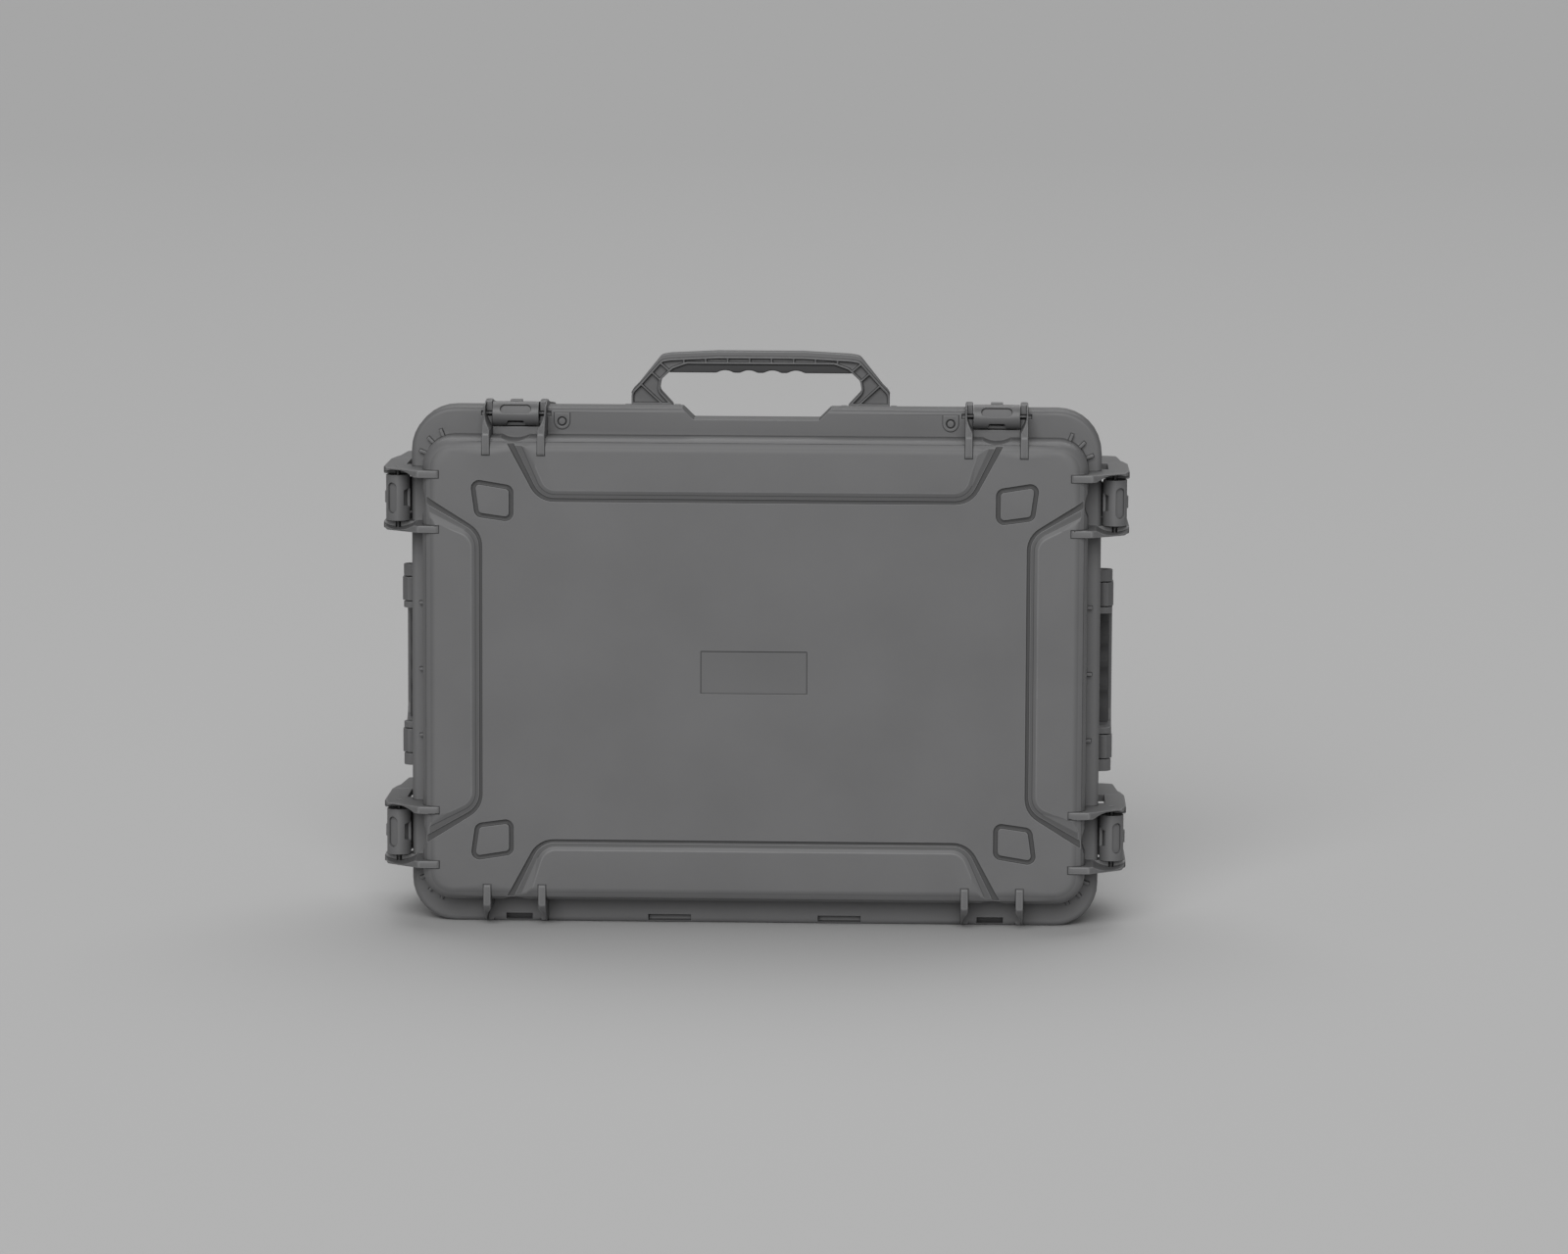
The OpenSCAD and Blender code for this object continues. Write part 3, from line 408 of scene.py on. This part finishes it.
shell_plastic = moulded_plastic("shell_plastic", (0.118, 0.118, 0.12), 0.5)
latch_plastic = moulded_plastic("latch_plastic", (0.115, 0.115, 0.117), 0.44, depth=0.05 * MM)
handle_plastic = moulded_plastic("handle_plastic", (0.108, 0.108, 0.11), 0.47)
valve_plastic = moulded_plastic("valve_plastic", (0.09, 0.09, 0.092), 0.45)
grip_rubber = soft_rubber("grip_rubber", (0.05, 0.05, 0.051))
seal_rubber = soft_rubber("seal_rubber", (0.02, 0.02, 0.02))
dark_foam = foam_material("dark_foam", (0.035, 0.035, 0.037))
pin_steel = steel_material("pin_steel", (0.05, 0.05, 0.051), (0.08, 0.08, 0.081))


# Hard pieces over the CAD frame

def dress(node, body, material, width, segments=2, has_fins=False):
    """A rounded piece over one CAD node."""
    obj = merged_copy(node, node + "_moulded")
    soften(obj, node, width, segments, has_fins)
    finish_piece(obj, body, material, node)
    return obj


base = dress("base_shell", "base", shell_plastic, SHELL_EDGE, has_fins=True)
lid = dress("lid_shell", "lid", shell_plastic, SHELL_EDGE, has_fins=True)
mark_recess(base, BASE_FACE, -1.0)
mark_recess(lid, LID_FACE, 1.0)
for latch in LATCHES:
    dress("lever_" + latch, "latch_" + latch, latch_plastic, 0.5 * MM)
    dress("hook_" + latch, "clasp_" + latch, latch_plastic, 0.4 * MM)
for handle in HANDLES:
    dress(handle + "_handle", handle + "_handle", handle_plastic, 0.8 * MM)
    dress(handle + "_handle_grip", handle + "_handle", grip_rubber, 1.5 * MM, segments=3)
dress("valve_body", "base", valve_plastic, 0.5 * MM)
dress("valve_knob", "valve_knob", latch_plastic, 0.4 * MM)
dress("valve_nut", "base", valve_plastic, 0.4 * MM)

pins = ["hinge_pins", "latch_pins"]
pins += ["hook_pin_" + latch for latch in LATCHES]
pins += [handle + "_handle_pins" for handle in HANDLES]
for node in pins:
    paint(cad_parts[node], pin_steel)
for node in ["lid_seal", "valve_seal"]:
    paint(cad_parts[node], seal_rubber)


# Foam

def foam_block(node, body):
    """Foam that fills its CAD solid, with softer edges than the hard pieces."""
    obj = merged_copy(node, node + "_block")
    soften(obj, node, 2.5 * MM, segments=3)
    finish_piece(obj, body, dark_foam, node)


foam_block("base_foam", "base")
foam_block("lid_foam", "lid")


# Studio

def paper_material(near, far):
    """Pale paper, painted darker into the depth of the studio as painted shade where the light falls off.
    """
    mat, tree, shader = new_material("studio_paper")
    place = tree.nodes.new("ShaderNodeSeparateXYZ")
    tree.links.new(tree.nodes.new("ShaderNodeTexCoord").outputs["Object"], place.inputs[0])
    depth = ramp(tree, place.outputs["Y"], -1.5, 14.0)
    # painted shade: from the near tone to the darker far tone
    tree.links.new(mix_colour(tree, depth, (near,) * 3, (far,) * 3), shader.inputs["Base Color"])
    shader.inputs["Roughness"].default_value = 0.9
    shader.inputs["Specular IOR Level"].default_value = 0.1
    return mat


def make_stage():
    """One long sheet of pale paper, which fills the picture."""
    deselect()
    bpy.ops.mesh.primitive_plane_add(size=1.0, location=(0.0, 20.0, 0.0))
    sheet = bpy.context.object
    sheet.name = "paper_floor"
    sheet.scale = (70.0, 70.0, 1.0)
    bpy.ops.object.transform_apply(location=True, rotation=False, scale=True)
    sheet.data.materials.append(paper_material(0.5, 0.42))


def soft_sun(name, toward, strength, angle):
    """A wide, even light that shines along the direction toward."""
    data = bpy.data.lights.new(name, "SUN")
    data.energy = strength
    data.angle = math.radians(angle)
    lamp = bpy.data.objects.new(name, data)
    lamp.rotation_euler = Vector(toward).to_track_quat("-Z", "Y").to_euler()
    bpy.context.scene.collection.objects.link(lamp)


def make_world(strength):
    """Even white light from all round."""
    world = bpy.data.worlds.new("studio")
    world.use_nodes = True
    background = world.node_tree.nodes["Background"]
    background.inputs["Color"].default_value = (1.0, 1.0, 1.0, 1.0)
    background.inputs["Strength"].default_value = strength
    bpy.context.scene.world = world


def make_camera():
    """The photograph's viewpoint, fitted to the rims, corners and latches."""
    place = Matrix.Translation((0.234, -6.591, 1.1365))
    yaw = math.radians(-1.808)
    pitch = math.radians(7.310)
    roll = math.radians(0.25)
    ahead = Vector((math.sin(yaw) * math.cos(pitch), math.cos(yaw) * math.cos(pitch), -math.sin(pitch)))
    level = Vector((math.cos(yaw), -math.sin(yaw), 0.0))
    above = level.cross(ahead)
    right = math.cos(roll) * level + math.sin(roll) * above
    above = right.cross(ahead)
    data = bpy.data.cameras.new("camera")
    data.sensor_fit = "HORIZONTAL"
    data.sensor_width = 36.0
    data.lens = 150.4
    data.clip_start = 0.1
    data.clip_end = 100.0
    cam = bpy.data.objects.new("camera", data)
    cam.matrix_world = place @ Matrix((right, above, -ahead)).transposed().to_4x4()
    bpy.context.scene.collection.objects.link(cam)
    bpy.context.scene.camera = cam


make_stage()
soft_sun("key", (0.08, 1.0, -0.52), 2.5, 44)
soft_sun("overhead", (-0.05, -0.6, -1.0), 1.35, 60)
make_world(0.16)
make_camera()
bpy.context.scene.view_settings.view_transform = "Standard"
